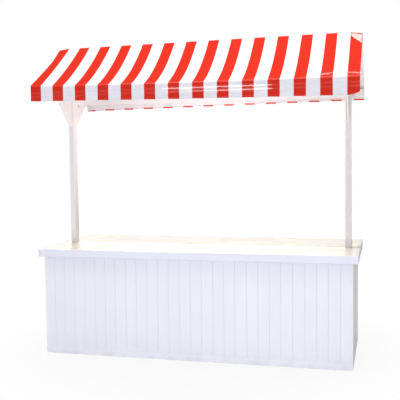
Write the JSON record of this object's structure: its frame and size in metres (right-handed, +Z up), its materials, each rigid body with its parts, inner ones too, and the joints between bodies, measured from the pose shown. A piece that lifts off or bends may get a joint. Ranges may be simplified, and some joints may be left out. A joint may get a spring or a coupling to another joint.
{
  "type": "wooden market stall",
  "caption": "Boarded serving counter with a post at each end carrying V-shaped heads, a ridge beam, eave rails and a striped gable canopy with straight valances.",
  "frame": {"origin": "on the floor under the middle of the stall, at the centre of the base of its bounding box", "axes": "+X along the counter, to the right as the customer sees it; +Y from the customer's side to the seller's side; +Z up"},
  "size_m": [2.694, 1.16, 2.67],
  "materials": {
    "painted_boards": "satin white paint on tongue-and-groove boards",
    "painted_frame": "satin white paint on planed timber and plywood",
    "painted_top": "gloss warm white paint",
    "bare_softwood": "unpainted sawn softwood",
    "canopy_cloth": "glossy coated cloth, red and white stripes outside, white inside"
  },
  "bodies": {
    "root": {"canopy_front_slope": "canopy_cloth", "canopy_front_valance": "canopy_cloth", "canopy_rear_slope": "canopy_cloth", "canopy_rear_valance": "canopy_cloth", "centre_bearer": "bare_softwood", "front_eave_rail": "painted_frame", "front_edge_trim": "painted_top", "front_left_leg": "bare_softwood", "front_left_rafter": "painted_frame", "front_panel": "painted_boards", "front_plinth": "painted_boards", "front_right_leg": "bare_softwood", "front_right_rafter": "painted_frame", "front_top_board": "painted_top", "front_top_rail": "bare_softwood", "left_cross_arm": "painted_frame", "left_end_panel": "painted_boards", "left_end_plinth": "painted_boards", "left_end_rail": "bare_softwood", "left_front_edge_trim": "painted_top", "left_head_plate": "painted_frame", "left_mast": "painted_frame", "left_post": "painted_frame", "left_post_cleat": "painted_frame", "left_rear_edge_trim": "painted_top", "rear_eave_rail": "painted_frame", "rear_edge_trim": "painted_top", "rear_left_leg": "bare_softwood", "rear_left_rafter": "painted_frame", "rear_panel": "painted_boards", "rear_plinth": "painted_boards", "rear_right_leg": "bare_softwood", "rear_right_rafter": "painted_frame", "rear_top_board": "painted_top", "rear_top_rail": "bare_softwood", "ridge_beam": "painted_frame", "right_cross_arm": "painted_frame", "right_end_panel": "painted_boards", "right_end_plinth": "painted_boards", "right_end_rail": "bare_softwood", "right_front_edge_trim": "painted_top", "right_head_plate": "painted_frame", "right_mast": "painted_frame", "right_post": "painted_frame", "right_post_cleat": "painted_frame", "right_rear_edge_trim": "painted_top"}
  },
  "joints": []
}
